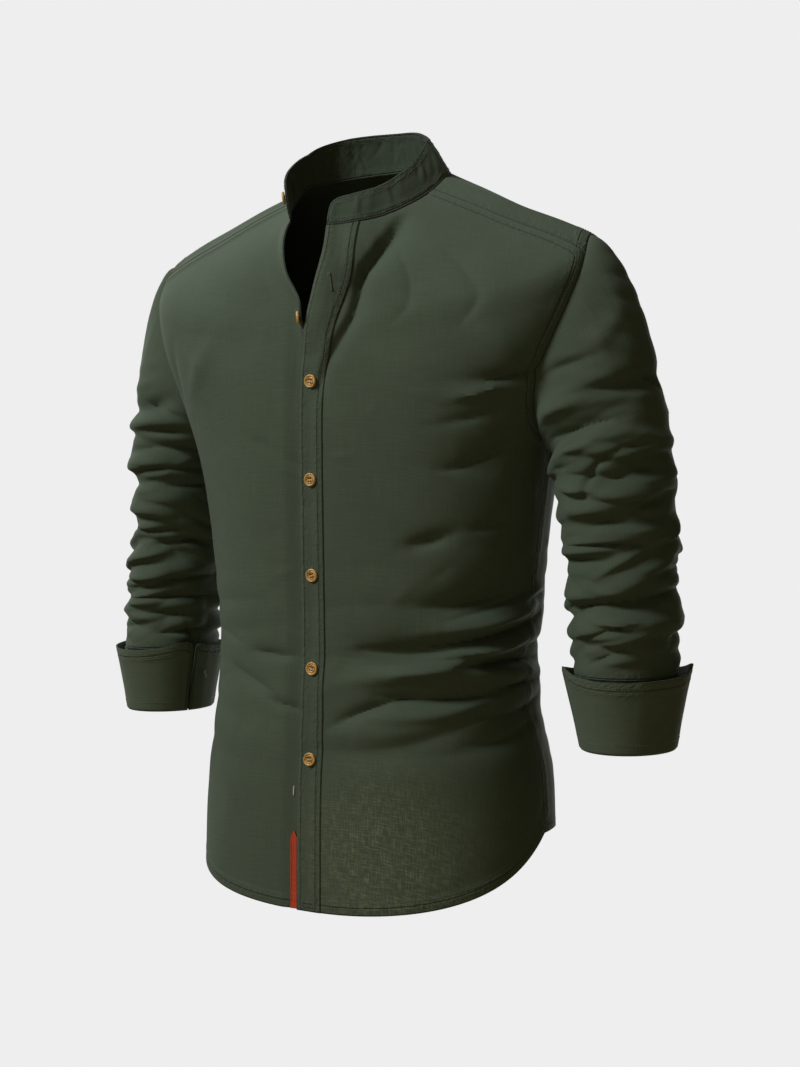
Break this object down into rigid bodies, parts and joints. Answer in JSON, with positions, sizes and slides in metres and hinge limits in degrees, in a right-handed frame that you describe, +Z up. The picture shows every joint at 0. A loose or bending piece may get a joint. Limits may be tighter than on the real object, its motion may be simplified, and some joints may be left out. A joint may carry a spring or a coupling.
{
  "type": "mandarin collar shirt",
  "caption": "Filled-out linen shirt with a standing band collar open at the neck, a buttoned front placket, turned-back cuffs on pushed-up sleeves and a curved hem.",
  "frame": {"origin": "middle of the neck, level with the high shoulder points, where a hanger or stand holds the shirt", "axes": "+Z up along the body, -Y towards the front, so the wearer's left is +X"},
  "size_m": [0.6592, 0.2493, 0.7813],
  "materials": {
    "cloth": "matt slub linen weave",
    "tape": "matt woven tape",
    "label": "matt woven label",
    "button": "satin"
  },
  "bodies": {
    "root": {"front_left": "cloth", "front_right": "cloth", "back": "cloth", "yoke": "cloth", "placket_left": "cloth", "button_stand_right": "cloth", "collar": "cloth", "sleeve_left": "cloth", "sleeve_right": "cloth", "cuff_left": "cloth", "cuff_right": "cloth", "hem_tape": "tape", "neck_label": "label", "button_1": "button", "button_2": "button", "button_3": "button", "button_4": "button", "button_5": "button", "button_6": "button", "button_7": "button"}
  },
  "joints": []
}
